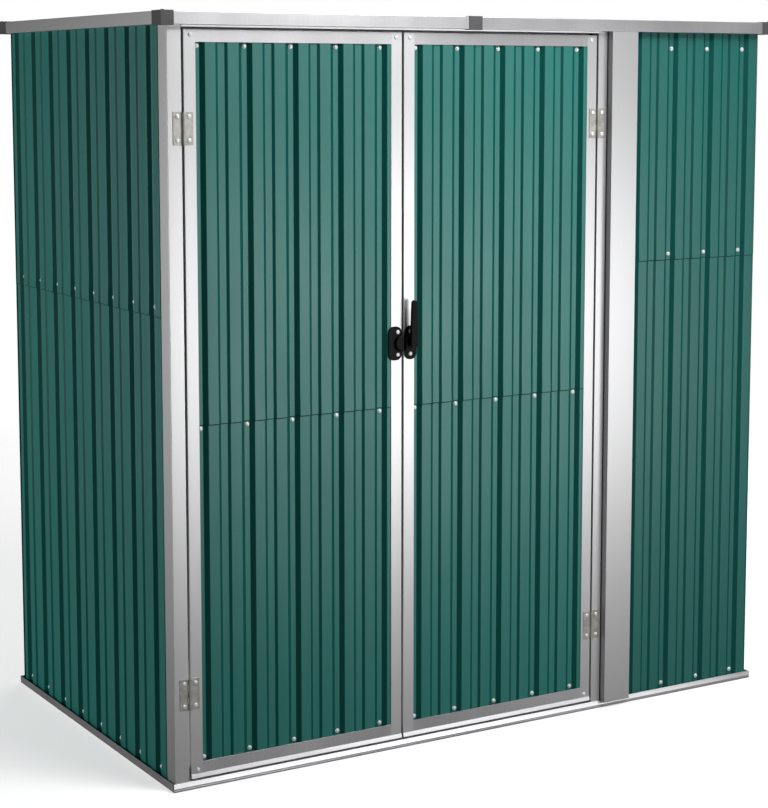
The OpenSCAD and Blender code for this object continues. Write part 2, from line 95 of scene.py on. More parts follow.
# Thicknesses that the nodes' boxes don't give
SHEET_T = 0.6 * MM
HINGE_LEAF_T = 1.5 * MM
LATCH_PLATE_T = 3 * MM

# A wall's direction to the right, seen from outside, and its direction outwards
FRONT = (Vector((1, 0, 0)), Vector((0, -1, 0)))
BACK = (Vector((-1, 0, 0)), Vector((0, 1, 0)))
LEFT = (Vector((0, -1, 0)), Vector((-1, 0, 0)))
RIGHT = (Vector((0, 1, 0)), Vector((1, 0, 0)))
ROOF = (Vector((1, 0, 0)), Vector((0, 0, 1)))

SHEETS = [
    "left_wall_lower", "left_wall_upper", "right_wall_lower", "right_wall_upper",
    "back_wall_lower", "back_wall_upper", "front_panel_lower", "front_panel_upper",
    "roof_sheet_left", "roof_sheet_right",
    "left_door_sheet_lower", "left_door_sheet_upper",
    "right_door_sheet_lower", "right_door_sheet_upper",
]
BASE_RAILS = {
    "base_rail_front": FRONT, "base_rail_back": BACK,
    "base_rail_left": LEFT, "base_rail_right": RIGHT,
}
FOLDED = [
    "corner_post_front_left", "door_jamb_right", "cover_post", "door_header",
    "roof_beam_front_left", "roof_beam_front_right", "roof_beam_left",
    "roof_beam_right", "roof_beam_back", "roof_crossbar",
    "left_door_stiles", "right_door_stiles",
]
DOOR_RAILS = ["left_door_rails", "right_door_rails"]
INNER = [
    "corner_post_front_right", "corner_post_back_left", "corner_post_back_right",
    "top_rail_left", "top_rail_right", "top_rail_back", "front_panel_angles", "wall_girts",
]
HINGES = ["frame_hinge_leaves", "left_door_hinge_leaves", "right_door_hinge_leaves"]
DOORS = ["left_door", "right_door"]


# ---- Settings ----

def length(name, default, description):
    """A length that a user may change."""
    return FloatProperty(name=name, default=default, description=description, unit="LENGTH",
                         precision=5)


def colour(name, default, description):
    """A linear colour."""
    return FloatVectorProperty(name=name, default=default, description=description, size=3,
                               min=0, max=1, subtype="COLOR")


class ShedSteelSettings(bpy.types.PropertyGroup):
    """Bends of the sheets and folds of the frame."""
    bend: length("Bend", 1.3 * MM, "Width of a rolled bend in a sheet, on each side of its line")
    fold_radius: length("Fold radius", 1.5 * MM, "Outer radius of the frame's folds")
    edge_break: length("Edge break", 0.2 * MM, "Bevel of the frame's cut edges")
    flare: length("Flare", 1.5 * MM, "How far an upper sheet's ribs spring off the lower sheet")
    flare_h: length("Flare height", 60 * MM, "Height of an upper sheet's sprung foot")
    lap_line: length("Lap line", 2.6 * MM, "Height of the dark line under an upper sheet's edge")
    sill_lean: length("Sill lean", 4.2 * MM, "How far the top of the front rail's lip leans in")
    sill_z: length("Sill height", 9 * MM, "Height at which the front rail's lip starts to lean")
    drip_lean: length("Drip lean", 2.0 * MM, "How far the top of a door's drip strip leans in")
    header_lean: length("Header lean", 0.5 * MM, "How far the top of the header's lip leans out")
    bead_z: length("Bead height", 6 * MM, "Height of the groove along the base rail's lip")
    bead_w: length("Bead width", 2.6 * MM, "Width of the groove along the base rail's lip")
    bead_depth: length("Bead depth", 0.9 * MM, "Depth of the groove along the base rail's lip")


class ShedFastenerSettings(bpy.types.PropertyGroup):
    """Screws and rivets."""
    washer_radius: length("Washer radius", 5.6 * MM, "Radius of a screw's sealing washer")
    washer_t: length("Washer thickness", 1.0 * MM, "Thickness of a screw's sealing washer")
    head_radius: length("Head radius", 4.2 * MM, "Radius of a screw's head")
    head_h: length("Head height", 2.2 * MM, "Height of a screw's head")
    rivet_radius: length("Rivet radius", 5.2 * MM, "Radius of a rivet's head")
    rivet_h: length("Rivet height", 1.9 * MM, "Height of a rivet's head")
    sides: IntProperty(name="Sides", default=12, min=8, max=32,
                       description="Sides of the screws' and rivets' heads")


class ShedColourSettings(bpy.types.PropertyGroup):
    """Colours of the finishes."""
    paint: colour("Paint", (0.005, 0.171, 0.147), "Green paint of the sheets")
    paint_worn: colour("Worn paint", (0.020, 0.200, 0.170), "Chalked paint in the rolling streaks")
    # The colour of the painted shade under the edge of each upper sheet
    paint_shade: colour("Dust line", (0.002, 0.055, 0.048), "Dust and shade under a sheet's edge")
    zinc: colour("Zinc", (0.78, 0.77, 0.79), "Zinc coat of the frame")
    zinc_dull: colour("Dull zinc", (0.50, 0.49, 0.50), "Spangle and streaks of the zinc coat")
    hinge: colour("Hinges", (0.47, 0.455, 0.425), "Zinc plate of the hinges")
    screw: colour("Screws", (0.90, 0.95, 0.93), "Heads of the screws and rivets")
    washer: colour("Washers", (0.80, 0.84, 0.82), "Plastic of the sealing washers")
    cap: colour("Caps", (0.075, 0.072, 0.076), "Plastic of the roof beams' caps")
    latch: colour("Latch", (0.004, 0.0035, 0.004), "Plastic of the latch and its lever")


class ShedStageSettings(bpy.types.PropertyGroup):
    """Camera and lights."""
    camera_place: FloatVectorProperty(
        name="Camera", default=(-2.73, -4.54, 1.64), size=3, subtype="TRANSLATION",
        description="Place of the camera")
    camera_turn: FloatProperty(name="Turn", default=radians(30.95), subtype="ANGLE",
                               description="How far the camera turns to the right of the front")
    camera_tilt: FloatProperty(name="Tilt", default=radians(6.6), subtype="ANGLE",
                               description="How far the camera looks down")
    lens: FloatProperty(name="Lens", default=87.8, unit="CAMERA",
                        description="Focal length of the camera")
    shift: FloatProperty(name="Shift", default=-0.115,
                         description="Vertical shift of the lens, as a share of the frame")
    key: FloatProperty(name="Key light", default=28, description="Power of the wide soft box")
    door: FloatProperty(name="Door light", default=15,
                        description="Power of the small light on the left door")
    side: FloatProperty(name="Side light", default=50,
                        description="Power of the light on the left wall")
    wash: FloatProperty(name="Wall light", default=54,
                        description="Power of the light that only tints the left wall")
    right: FloatProperty(name="Right light", default=50,
                         description="Power of the light on the right wall")
    top: FloatProperty(name="Top light", default=84, description="Power of the light overhead")
    back: FloatProperty(name="Back light", default=50,
                        description="Power of the light behind the shed")
    ground: FloatProperty(name="Ground", default=0.55,
                          description="How bright the pale ground stands in the steel's gloss")


def steel():
    return bpy.context.scene.shed_steel


def fasteners():
    return bpy.context.scene.shed_fasteners


def colours():
    return bpy.context.scene.shed_colours


def stage():
    return bpy.context.scene.shed_stage


# ---- Modelling ----

def only(*pieces):
    """Select these pieces alone. The last one is active."""
    bpy.ops.object.select_all(action="DESELECT")
    for piece in pieces:
        piece.select_set(True)
        bpy.context.view_layer.objects.active = piece


def open_mesh(piece, kind):
    """Edit mode with nothing selected."""
    only(piece)
    bpy.ops.object.mode_set(mode="EDIT")
    bpy.ops.mesh.select_mode(type=kind)
    bpy.ops.mesh.select_all(action="DESELECT")


def close_mesh():
    bpy.ops.object.mode_set(mode="OBJECT")


def pick(piece, kind, test):
    """Select the vertices, edges or faces that pass a test. Say how many did."""
    mesh = bmesh.from_edit_mesh(piece.data)
    found = 0
    for element in getattr(mesh, kind):
        passed = bool(test(element))
        element.select_set(passed)
        found += passed
    if kind != "verts":
        mesh.select_flush_mode()
    bmesh.update_edit_mesh(piece.data)
    return found


def copy_node(node, name):
    """A merged copy of a CAD node's mesh, with each flat face whole."""
    piece = bpy.data.objects.new(name, NODES[node].data.copy())
    piece.data.name = name
    bpy.context.collection.objects.link(piece)
    open_mesh(piece, "VERT")
    bpy.ops.mesh.select_all(action="SELECT")
    bpy.ops.mesh.customdata_custom_splitnormals_clear()
    bpy.ops.mesh.remove_doubles(threshold=0.01 * MM)
    bpy.ops.mesh.dissolve_limited(angle_limit=radians(0.5))
    close_mesh()
    piece.data.materials.clear()
    return piece


def breadth(face):
    """Width of a long face: its area over its longest edge."""
    return face.calc_area() / max(edge.calc_length() for edge in face.edges)


def corner(edge, angle):
    """Whether two faces meet here at more than this angle."""
    return len(edge.link_faces) == 2 and edge.calc_face_angle() > radians(angle)


def outer_corner(edge):
    """Whether two faces meet here at a sharp edge that stands out."""
    return corner(edge, 60) and edge.is_convex


def at_depth(edge, *depths):
    """Whether both ends of an edge stand at one of these depths behind the front."""
    return all(min(abs(v.co.y - depth) for depth in depths) < NEAR for v in edge.verts)


def bevel(piece, test, width, segments):
    """Round the edges that pass a test."""
    open_mesh(piece, "EDGE")
    if pick(piece, "edges", test):
        bpy.ops.mesh.bevel(offset=width, offset_type="OFFSET", segments=segments, profile=0.5,
                           clamp_overlap=True)
    close_mesh()


def cut_across(piece, z):
    """Add a ring of edges round a piece at one height."""
    open_mesh(piece, "VERT")
    bpy.ops.mesh.select_all(action="SELECT")
    bpy.ops.mesh.bisect(plane_co=(0, 0, z), plane_no=(0, 0, 1))
    close_mesh()


def lean(piece, test, distance):
    """Move the upper edge of a strip in by a distance, or out by a negative one."""
    open_mesh(piece, "VERT")
    if not pick(piece, "verts", test):
        raise RuntimeError(piece.name + " has no strip to lean")
    bpy.ops.transform.translate(value=(0, distance, 0))
    close_mesh()


def repaint(piece, finish, test):
    """Give the faces that pass a test a finish of their own."""
    piece.data.materials.append(finish_named(finish))
    open_mesh(piece, "FACE")
    if not pick(piece, "faces", test):
        raise RuntimeError(f"{piece.name} has no faces for {finish}")
    piece.active_material_index = len(piece.data.materials) - 1
    bpy.ops.object.material_slot_assign()
    close_mesh()


def shade(piece, angle=40):
    """Smooth the rounded stretches and keep the flat ones flat."""
    only(piece)
    bpy.ops.object.shade_smooth_by_angle(angle=radians(angle))
    level = piece.modifiers.new("flat_faces", "WEIGHTED_NORMAL")
    level.keep_sharp = True
    bpy.ops.object.modifier_apply(modifier=level.name)


def finish_piece(piece, body, material, slot, *nodes):
    """Give a piece its material and its body, and hide the nodes that it stands for. The slot is
    not used.
    """
    if material:
        piece.data.materials.clear()
        piece.data.materials.append(material)
    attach(piece, body)
    if nodes:
        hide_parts(*nodes)


def body_of(node):
    return NODES[node]["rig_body"]


def outward(direction):
    """The turn that takes Z to a direction."""
    return direction.to_track_quat("Z", "Y").to_matrix().to_4x4()


def set_out(pattern, name, places, direction):
    """One piece made of a pattern's copies, which face a direction, each turned its own way."""
    turn = radians(137.5)
    copies = []
    for count, place in enumerate(places):
        copy = bpy.data.objects.new(f"{name}_{count}", pattern.data.copy())
        bpy.context.collection.objects.link(copy)
        spin = Matrix.Rotation(count * turn, 4, "Z")
        copy.data.transform(Matrix.Translation(place) @ outward(direction) @ spin)
        copies.append(copy)
    only(*copies)
    bpy.ops.object.join()
    piece = bpy.context.view_layer.objects.active
    piece.name = name
    piece.data.name = name
    return piece


# ---- Places on the sheets ----

def valleys(node, wall):
    """Middles of a sheet's valleys along its wall, and the depth of their floors outwards."""
    right, out = wall
    narrowest, widest = 8 * MM, 25 * MM
    vertices = [vertex.co for vertex in NODES[node].data.vertices]
    back = min(co.dot(out) for co in vertices)
    edges = sorted({round(co.dot(right), 5) for co in vertices if co.dot(out) - back < NEAR})
    middles = [(a + b) / 2 for a, b in zip(edges, edges[1:]) if narrowest < b - a < widest]
    return middles, back + SHEET_T


def wall_of(node):
    """The directions of the wall that a sheet belongs to."""
    sides = {"left_wall": LEFT, "right_wall": RIGHT, "back_wall": BACK, "roof": ROOF}
    return next((wall for side, wall in sides.items() if node.startswith(side)), FRONT)


def row(node, wall, z):
    """Places on a sheet's valley floors at one height."""
    right, out = wall
    middles, depth = valleys(node, wall)
    return [right * x + out * depth + Vector((0, 0, z)) for x in middles]


def foot(node):
    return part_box(node)[0].z


def head(node):
    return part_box(node)[1].z


# ---- Materials ----

class NodeTree:
    """A node tree, and short ways to add nodes to it."""

    def __init__(self, tree):
        self.tree = tree

    def add(self, kind, links=(), **values):
        """A node with its sockets linked or set."""
        node = self.tree.nodes.new(kind)
        for key, value in values.items():
            setattr(node, key, value)
        for socket, source in dict(links).items():
            if isinstance(source, bpy.types.NodeSocket):
                self.tree.links.new(source, node.inputs[socket])
            else:
                node.inputs[socket].default_value = source
        return node

    def spread(self, value, low, high, start=0.3, end=0.7):
        """From low to high while a value goes from start to end."""
        return self.add("ShaderNodeMapRange", {
            "Value": value, "From Min": start, "From Max": end, "To Min": low, "To Max": high,
        }).outputs["Result"]

    def combine(self, operation, a, b):
        """Two values added or multiplied."""
        return self.add("ShaderNodeMath", {0: a, 1: b}, operation=operation).outputs[0]


class Finish(NodeTree):
    """A material with one shader, and nodes that are added to it."""

    def __init__(self, name, **values):
        self.material = bpy.data.materials.new(name)
        self.material.use_nodes = True
        super().__init__(self.material.node_tree)
        self.shader = next(n for n in self.tree.nodes if n.type == "BSDF_PRINCIPLED")
        for key, value in values.items():
            self.shader.inputs[key.replace("_", " ")].default_value = value
        self.object = self.add("ShaderNodeTexCoord").outputs["Object"]

    def stretch(self, scale):
        """Object coordinates, scaled along each axis."""
        return self.add("ShaderNodeMapping", {"Vector": self.object, "Scale": scale}).outputs[0]

    def noise(self, vector, scale, detail=2.0, roughness=0.5):
        return self.add("ShaderNodeTexNoise", {
            "Vector": vector, "Scale": scale, "Detail": detail, "Roughness": roughness,
        }).outputs["Fac"]

    def blend(self, factor, low, high):
        """A colour between two colours."""
        factor_in, low_in, high_in, colour_out = 0, 6, 7, 2
        mix = self.add("ShaderNodeMix", {factor_in: factor, low_in: low, high_in: high},
                       data_type="RGBA")
        return mix.outputs[colour_out]

    def bump(self, height, distance, strength, below=None):
        links = {"Height": height, "Distance": distance, "Strength": strength}
        if below:
            links["Normal"] = below
        return self.add("ShaderNodeBump", links).outputs["Normal"]

    def use(self, **sources):
        for key, source in sources.items():
            self.tree.links.new(source, self.shader.inputs[key.replace("_", " ")])


def tinted(tone, share=1.0):
    """A linear colour made darker or lighter, with its alpha."""
    return (*(channel * share for channel in tone), 1.0)


def green_paint(name="green_paint", dust=1.0, gloss=0.68, coat=0.10):
    """Coil-coated steel: satin, with faint rolling streaks and a fine orange peel."""
    finish = Finish(name, Metallic=0.0, Specular_IOR_Level=gloss, Coat_Weight=coat,
                    Coat_Roughness=0.28)
    tone, chalk = colours().paint, colours().paint_worn
    streaks = finish.noise(finish.stretch((1, 1, 0.012)), 90, 3)
    clouds = finish.noise(finish.stretch((1, 1, 0.5)), 4, 3)
    # A share below 1 darkens the whole paint, as painted shade
    worn = finish.blend(finish.spread(streaks, 0.0, 0.30), tinted(tone, dust), tinted(chalk, dust))
    base = finish.blend(finish.spread(clouds, 0.0, 0.20), worn, tinted(tone, dust * 0.7))
    peel = finish.noise(finish.object, 700, 2)
    waves = finish.noise(finish.stretch((1, 1, 0.35)), 6, 1)
    normal = finish.bump(waves, 1.2 * MM, 0.35)
    finish.use(Base_Color=base, Roughness=finish.spread(clouds, 0.36, 0.46),
               Normal=finish.bump(peel, 0.05 * MM, 0.5, normal))
    return finish.material


def lap_shade():
    """Painted shade on the paint right under the edge of the sheet above, mottled by noise."""
    finish = Finish("lap_shade", Specular_IOR_Level=0.3)
    tone = colours().paint_shade
    dust = finish.noise(finish.object, 60, 4, 0.6)
    base = finish.blend(finish.spread(dust, 0.0, 1.0), tinted(tone, 0.6), tinted(tone, 1.5))
    finish.use(Base_Color=base, Roughness=finish.spread(dust, 0.6, 0.8))
    return finish.material


def galvanised_steel(name="galvanised_steel", dull=1.0):
    """Zinc coat with a fine spangle and drawn streaks."""
    finish = Finish(name, Metallic=0.9, Specular_IOR_Level=0.5)
    # A share below 1 darkens the whole coat, as painted shade
    base = tinted(colours().zinc, dull)
    worn = tinted(colours().zinc_dull, dull)
    spangle = finish.add("ShaderNodeTexVoronoi", {"Vector": finish.object, "Scale": 140})
    grain = finish.spread(spangle.outputs["Distance"], 0.0, 0.10, 0.0, 0.8)
    streaks = finish.noise(finish.stretch((1, 1, 0.02)), 260, 3)
    base = finish.blend(grain, base, worn)
    base = finish.blend(finish.spread(streaks, 0.0, 0.12), base, worn)
    clouds = finish.noise(finish.stretch((1, 1, 0.6)), 5, 3)
    normal = finish.bump(clouds, 0.8 * MM, 0.25)
    finish.use(Base_Color=base, Roughness=finish.spread(clouds, 0.30, 0.40),
               Normal=finish.bump(spangle.outputs["Distance"], 0.04 * MM, 0.35, normal))
    return finish.material


def hinge_zinc():
    """Blued zinc plate with rubbed patches."""
    finish = Finish("hinge_zinc", Metallic=0.75)
    tone = colours().hinge
    wear = finish.noise(finish.object, 60, 4, 0.6)
    base = finish.blend(finish.spread(wear, 0.0, 1.0), tinted(tone, 0.8), tinted(tone, 1.25))
    grain = finish.noise(finish.stretch((1, 1, 0.15)), 900, 2)
    finish.use(Base_Color=base, Roughness=finish.spread(wear, 0.38, 0.52),
               Normal=finish.bump(grain, 0.04 * MM, 0.4))
    return finish.material


def screw_zinc():
    """Bright zinc plate of the screws' and rivets' heads."""
    finish = Finish("screw_zinc", Metallic=0.25)
    tone = colours().screw
    wear = finish.noise(finish.object, 240, 3)
    base = finish.blend(finish.spread(wear, 0.0, 1.0), tinted(tone, 0.9), tinted(tone))
    finish.use(Base_Color=base, Roughness=finish.spread(wear, 0.24, 0.36))
    return finish.material


def plastic(name, tone, roughness, grain_scale, gloss=0.5):
    """Moulded plastic with a fine eroded grain."""
    finish = Finish(name, Specular_IOR_Level=gloss)
    clouds = finish.noise(finish.object, 30, 3)
    grain = finish.noise(finish.object, grain_scale, 2)
    base = finish.blend(finish.spread(clouds, 0.0, 1.0), tinted(tone, 0.88),
                        tinted(tone, 1.15))
    finish.use(Base_Color=base, Roughness=finish.spread(clouds, roughness - 0.05, roughness + 0.06),
               Normal=finish.bump(grain, 0.06 * MM, 0.5))
    return finish.material


def finish_named(name):
    """One of the shed's finishes, made when it is first asked for."""
    tones = colours()
    makers = {
        "green_paint": green_paint,
        # Darker copies of the green paint, for the front panel and the ribs' flanks: painted shade
        "panel_paint": lambda: green_paint(name, dust=0.78),
        "flank_paint": lambda: green_paint(name, dust=0.50, gloss=0.12, coat=0.0),
        "lap_shade": lap_shade,
        "galvanised_steel": galvanised_steel,
        # Darker copies of the steel, for the rails and the post's sides: painted shade
        "rail_steel": lambda: galvanised_steel(name, dull=0.94),
        "stained_steel": lambda: galvanised_steel(name, dull=0.50),
        "hinge_zinc": hinge_zinc,
        "screw_zinc": screw_zinc,
        "washer_plastic": lambda: plastic(name, tones.washer, roughness=0.5, grain_scale=900),
        "cap_plastic": lambda: plastic(name, tones.cap, roughness=0.5, grain_scale=1200),
        "latch_plastic": lambda: plastic(name, tones.latch, roughness=0.5, grain_scale=1400,
                                         gloss=0.13),
    }
    return bpy.data.materials.get(name) or makers[name]()


# ---- Pieces ----

class SHED_OT_sheets(bpy.types.Operator):
    """Rolled sheets: each bend gets the round of the rolls"""
    bl_idname = "shed.sheets"
    bl_label = "Profiled sheets"

    def execute(self, context):
        bend_angle, shortest, narrowest = 15, 0.3, 2.5 * MM
        for node in SHEETS:
            piece = copy_node(node, node.replace("_sheet", "") + "_rolled")
            bevel(piece, lambda e: corner(e, bend_angle) and e.calc_length() > shortest
                  and min(breadth(f) for f in e.link_faces) > narrowest, steel().bend, 3)
            # The front panel gets a darker copy of the green paint: painted shade
            paint = "panel_paint" if node.startswith("front_panel") else "green_paint"
            finish_piece(piece, body_of(node), finish_named(paint), "green_sheet", node)
            self.flanks(piece, node)
            if node.endswith("_upper"):
                self.flare(piece, node)
            if node.endswith("_lower"):
                self.dust(piece, foot(node.replace("_lower", "_upper")))
            shade(piece, 30)
        return {"FINISHED"}

    def flanks(self, piece, node):
        """Painted shade: darker, duller paint on the flanks of the ribs and grooves."""
        right, out = wall_of(node)
        # A flank faces neither straight out of the wall nor straight along it
        inward, flat = -0.1, 0.985
        upright, cut_end = 0.1, 0.995
        repaint(piece, "flank_paint", lambda f: inward < f.normal.dot(out) < flat
                and upright < abs(f.normal.dot(right)) < cut_end)

    def flare(self, piece, node):
        """Spring the ribs of an upper sheet a little off the sheet below."""
        wall, z = wall_of(node), foot(node)
        right, out = wall
        middles = valleys(node, wall)[0]
        first, last = middles[0], middles[-1]
        cut_across(piece, z + steel().flare_h)
        open_mesh(piece, "VERT")
        mesh = bmesh.from_edit_mesh(piece.data)
        edge = [v for v in mesh.verts
                if v.co.z < z + NEAR and first < v.co.dot(right) < last]
        depths = [v.co.dot(out) for v in edge]
        low, high = min(depths), max(depths)
        for vertex, depth in zip(edge, depths):
            vertex.co += out * steel().flare * ((depth - low) / (high - low)) ** 2
        bmesh.update_edit_mesh(piece.data)
        close_mesh()

    def dust(self, piece, z):
        """Painted shade: a dark line across a lower sheet, right under the edge of the upper one.
        """
        for height in (z - steel().lap_line, z):
            cut_across(piece, height)
        repaint(piece, "lap_shade", lambda f: z - steel().lap_line < f.calc_center_median().z < z
                and abs(f.normal.z) < 0.5)


def fold(piece):
    """Round a folded member's outer folds, and break its cut edges."""
    fold_length, fold_breadth, edge_length = 15 * MM, 3 * MM, 8 * MM
    bevel(piece, lambda e: outer_corner(e) and e.calc_length() > fold_length
          and min(breadth(f) for f in e.link_faces) > fold_breadth, steel().fold_radius, 3)
    bevel(piece, lambda e: outer_corner(e) and e.calc_length() > edge_length,
          steel().edge_break, 1)
    shade(piece)


class SHED_OT_folded_frame(bpy.types.Operator):
    """Posts, header, roof beams and door stiles of folded steel, and the inner members' finish"""
    bl_idname = "shed.folded_frame"
    bl_label = "Folded frame"

    def execute(self, context):
        for node in FOLDED:
            piece = copy_node(node, node + "_folded")
            if node == "door_header":
                lip_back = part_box(node)[0].y + 2 * MM
                lip_top = head(node) - 1 * MM
                lean(piece, lambda v: v.co.y < lip_back and v.co.z > lip_top,
                     -steel().header_lean)
            fold(piece)
            # The front roof beams get a darker copy of the steel: painted shade
            finish = "rail_steel" if node.startswith("roof_beam_front") else "galvanised_steel"
            finish_piece(piece, body_of(node), finish_named(finish), "galvanised_steel", node)
            if node == "cover_post":
                self.stain(piece)
        for node in INNER:
            NODES[node].material_slots[0].material = finish_named("galvanised_steel")
        return {"FINISHED"}

    def stain(self, piece):
        """Painted shade: darker steel on the post's sides, beside the jamb."""
        sideways = 0.95
        repaint(piece, "stained_steel", lambda f: abs(f.normal.x) > sideways)


class SHED_OT_door_rails(bpy.types.Operator):
    """Cross rails of the doors, in a darker copy of the stiles' steel: painted shade"""
    bl_idname = "shed.door_rails"
    bl_label = "Door rails"

    def execute(self, context):
        for node in DOOR_RAILS:
            piece = copy_node(node, node + "_folded")
            strip_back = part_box(node)[0].y + 0.5 * MM
            strip_foot = foot(node) + 5 * MM
            lean(piece, lambda v: v.co.y < strip_back and v.co.z > strip_foot,
                 steel().drip_lean)
            fold(piece)
            # A darker copy of the steel: painted shade
            finish_piece(piece, body_of(node), finish_named("rail_steel"), "galvanised_steel",
                         node)
        return {"FINISHED"}


class SHED_OT_base_rails(bpy.types.Operator):
    """Base rails, with a groove rolled along the foot of each outer lip"""
    bl_idname = "shed.base_rails"
    bl_label = "Base rails"

    def execute(self, context):
        bead = steel()
        lip_depth, over_sill = 2.5 * MM, 1 * MM
        for node, (_, out) in BASE_RAILS.items():
            piece = copy_node(node, node + "_folded")
            face = max(v.co.dot(out) for v in piece.data.vertices)
            inner = [bead.bead_z - bead.bead_w / 4, bead.bead_z + bead.bead_w / 4]
            outer = [bead.bead_z - bead.bead_w / 2, bead.bead_z + bead.bead_w / 2]
            for z in inner + outer:
                cut_across(piece, z)
            open_mesh(piece, "VERT")
            pick(piece, "verts", lambda v: face - v.co.dot(out) < NEAR
                 and inner[0] - 0.01 * MM < v.co.z < inner[1] + 0.01 * MM)
            bpy.ops.transform.translate(value=-out * bead.bead_depth)
            close_mesh()
            if node == "base_rail_front":
                cut_across(piece, bead.sill_z)
                lean(piece, lambda v: v.co.z > bead.sill_z + over_sill
                     and face - v.co.dot(out) < lip_depth, bead.sill_lean)
            fold(piece)
            # A darker copy of the steel: painted shade
            finish_piece(piece, body_of(node), finish_named("rail_steel"), "galvanised_steel",
                         node)
        return {"FINISHED"}


def disc(name, radius, height):
    """A low cylinder that stands on the XY plane."""
    bpy.ops.object.select_all(action="DESELECT")
    bpy.ops.mesh.primitive_cylinder_add(vertices=fasteners().sides, radius=radius, depth=height,
                                        location=(0, 0, height / 2))
    piece = bpy.context.view_layer.objects.active
    piece.name = name
    bpy.ops.object.transform_apply(location=True, rotation=True, scale=True)
    return piece


def raise_faces(height):
    """Pull the selected faces up, or push them down by a negative height."""
    bpy.ops.mesh.extrude_region_move(TRANSFORM_OT_translate={"value": (0, 0, height)})


def round_over(steps, height):
    """Raise the selected faces in steps, each narrower by a share and as high as a share."""
    for narrower, higher in steps:
        raise_faces(height * higher)
        scale = 1 - narrower
        bpy.ops.transform.resize(value=(scale, scale, 1), center_override=(0, 0, 0))


def screw_pattern():
    """A pan-head screw on a sealing washer, standing on the XY plane."""
    size = fasteners()
    top = size.washer_t
    recess_rim, recess_depth = 0.3 * MM, 0.9 * MM
    recess_arm, recess_waist = 1.9 * MM, 0.75 * MM
    screw = disc("screw_pattern", size.washer_radius, size.washer_t)
    screw.data.materials.append(finish_named("washer_plastic"))
    screw.data.materials.append(finish_named("screw_zinc"))
    open_mesh(screw, "FACE")
    pick(screw, "faces", lambda f: f.normal.z > 0.9
         and f.calc_center_median().z > top - 0.01 * MM)
    bpy.ops.mesh.inset(thickness=size.washer_radius - size.head_radius)
    raise_faces(size.head_h * 0.45)
    round_over([(0.12, 0.35), (0.35, 0.20)], size.head_h)
    bpy.ops.mesh.inset(thickness=recess_rim)
    mesh = bmesh.from_edit_mesh(screw.data)
    for vertex in next(f for f in mesh.faces if f.select).verts:
        turn = round(size.sides * (vertex.co.xy.angle_signed(Vector((1, 0))) / (2 * pi)))
        reach = recess_arm if turn % (size.sides // 4) == 0 else recess_waist
        vertex.co.xy = vertex.co.xy.normalized() * reach
    bmesh.update_edit_mesh(screw.data)
    raise_faces(-recess_depth)
    pick(screw, "faces", lambda f: f.calc_center_median().xy.length < size.head_radius * 1.02
         and f.calc_center_median().z > top + 0.05 * MM)
    screw.active_material_index = 1
    bpy.ops.object.material_slot_assign()
    close_mesh()
    shade(screw, 50)
    return screw


def rivet_pattern():
    """A blind rivet's domed head with its drawn centre, standing on the XY plane."""
    size = fasteners()
    rivet = disc("rivet_pattern", size.rivet_radius, size.rivet_h * 0.35)
    rivet.data.materials.append(finish_named("screw_zinc"))
    open_mesh(rivet, "FACE")
    pick(rivet, "faces", lambda f: f.normal.z > 0.9)
    round_over([(0.15, 0.35), (0.35, 0.30)], size.rivet_h)
    bpy.ops.mesh.inset(thickness=size.rivet_radius * 0.28)
    raise_faces(-size.rivet_h * 0.2)
    close_mesh()
    shade(rivet, 50)
    return rivet


def fasten(pattern, groups):
    """A piece for each group, which is a name, a body, a wall and places for the pattern."""
    for name, body, wall, places in groups:
        piece = set_out(pattern, name, places, wall[1])
        finish_piece(piece, body, None, "hinge_steel")
    bpy.data.objects.remove(pattern)


class SHED_OT_screws(bpy.types.Operator):
    """Screws with sealing washers along the valleys of every sheet"""
    bl_idname = "shed.screws"
    bl_label = "Sheet screws"

    def execute(self, context):
        fasten(screw_pattern(), self.rows())
        return {"FINISHED"}

    def rows(self):
        """Name, body, wall and places of each group of screws."""
        over_foot, over_lap = 30 * MM, 20 * MM
        over_panel_lap, under_panel_top = 14 * MM, 41 * MM
        over_door_foot, under_door_lap, under_door_top = 44 * MM, 9 * MM, 35 * MM
        for side, wall in (("left", LEFT), ("right", RIGHT), ("back", BACK)):
            lower, upper = f"{side}_wall_lower", f"{side}_wall_upper"
            yield (f"{side}_wall_screws", "shed", wall,
                   row(lower, wall, over_foot)
                   + row(upper, wall, foot(upper) + over_lap))
        lower, upper = "front_panel_lower", "front_panel_upper"
        yield ("front_panel_screws", "shed", FRONT,
               row(lower, FRONT, over_foot)
               + row(upper, FRONT, foot(upper) + over_panel_lap)
               + row(upper, FRONT, head(upper) - under_panel_top))
        for door in DOORS:
            lower, upper = f"{door}_sheet_lower", f"{door}_sheet_upper"
            yield (f"{door}_screws", door, FRONT,
                   row(lower, FRONT, foot(lower) + over_door_foot)
                   + row(lower, FRONT, foot(upper) - under_door_lap)
                   + row(upper, FRONT, head(upper) - under_door_top))
        yield ("roof_screws", "shed", ROOF, self.roof_places())

    def roof_places(self):
        """Rows over the front and back beams and over the bar's middle."""
        from_edge, bar_reach, apart = 30 * MM, 70 * MM, 5 * MM
        places = []
        for node in ("roof_sheet_left", "roof_sheet_right"):
            low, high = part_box(node)
            middles, depth = valleys(node, ROOF)
            beams = (low.y + from_edge, high.y - from_edge)
            for y in (beams[0], (low.y + high.y) / 2, beams[1]):
                places += [Vector((x, y, depth)) for x in middles
                           if y in beams or abs(x) < bar_reach]
        kept = []
        for place in places:
            if all((place - other).xy.length > apart for other in kept):
                kept.append(place)
        return kept


